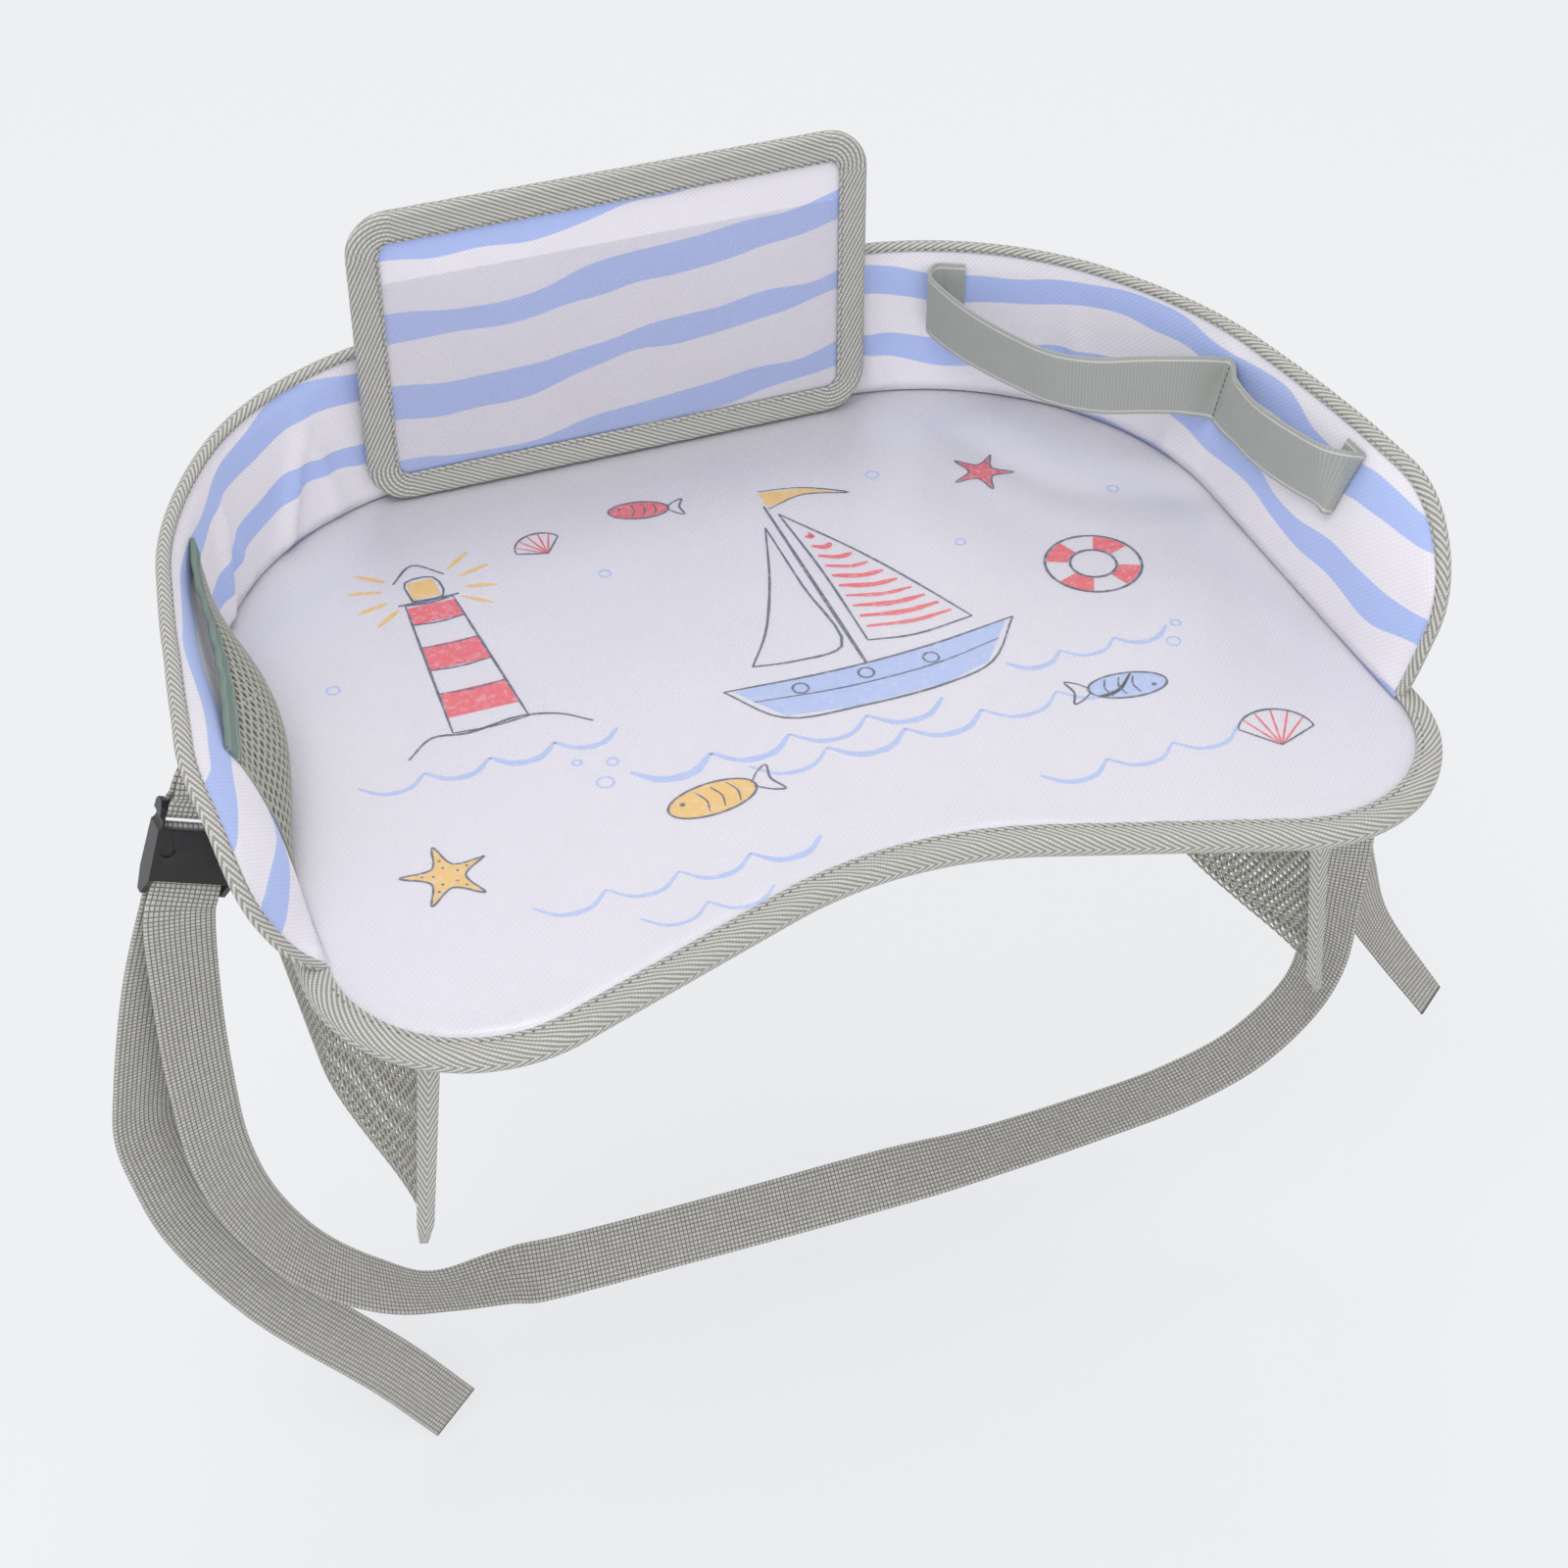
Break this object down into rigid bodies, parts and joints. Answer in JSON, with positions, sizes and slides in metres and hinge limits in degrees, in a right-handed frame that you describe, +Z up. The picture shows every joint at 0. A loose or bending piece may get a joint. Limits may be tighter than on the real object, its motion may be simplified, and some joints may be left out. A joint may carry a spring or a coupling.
{
  "type": "child travel tray",
  "caption": "Child's travel tray: bound kidney-shaped base, padded wall on three sides, lift-off tablet panel, elastic band, net pockets and a webbing strap in two ladder locks.",
  "frame": {"origin": "middle of the base's flat underside, midway between its sides", "axes": "+Z up out of the tray, -Y towards the child who sits at the belly cut-out, +X to that child's right"},
  "size_m": [0.5636, 0.338, 0.4749],
  "materials": {
    "printed_cloth": "fine diagonal weave, satin",
    "striped_cloth": "fine diagonal weave with wavy blue stripes, satin",
    "edge_tape": "grey herringbone tape, matte",
    "webbing": "grey polyester webbing with ribs, matte",
    "elastic": "ribbed woven elastic, matte",
    "hem_elastic": "folded knitted elastic, matte",
    "net": "knitted mesh with oval gaps, matte",
    "hook_and_loop": "hook and loop tape, matte",
    "wall_foam": "closed-cell foam sheet, matte",
    "board": "stiff plastic board, matte",
    "clear_film": "clear flexible film, glossy",
    "lock_plastic": "moulded black plastic, satin"
  },
  "bodies": {
    "tray": {"base_bottom_cover": "printed_cloth", "base_board": "board", "base_top_cover": "printed_cloth", "base_clear_film": "clear_film", "base_edge_binding": "edge_tape", "wall_inner_lining": "striped_cloth", "wall_core": "wall_foam", "wall_outer_cover": "striped_cloth", "wall_edge_tape": "edge_tape", "wall_loop_strip": "hook_and_loop", "elastic_band": "elastic", "wall_pocket_net": "net", "wall_pocket_hem": "hem_elastic", "left_side_net": "net", "left_net_tape": "edge_tape", "right_side_net": "net", "right_net_tape": "edge_tape", "left_anchor_webbing": "webbing", "right_anchor_webbing": "webbing"},
    "panel": {"panel_board": "board", "panel_front_cover": "striped_cloth", "panel_back_cover": "printed_cloth", "panel_window": "clear_film", "panel_edge_binding": "edge_tape", "panel_hook_strip": "hook_and_loop"},
    "strap": {"left_ladder_lock": "lock_plastic", "right_ladder_lock": "lock_plastic", "strap_webbing": "webbing"}
  },
  "joints": [
    {"name": "panel_lift", "type": "slide", "parent": "tray", "child": "panel", "axis": [0, 0, 1], "range_m": [0, 0.14]},
    {"name": "strap_swing", "type": "hinge", "parent": "tray", "child": "strap", "pos_m": [0, -0.0114, 0.0261], "axis": [1, 0, 0], "range_deg": [-80, 45], "deforming": ["left_anchor_webbing", "right_anchor_webbing"]}
  ]
}
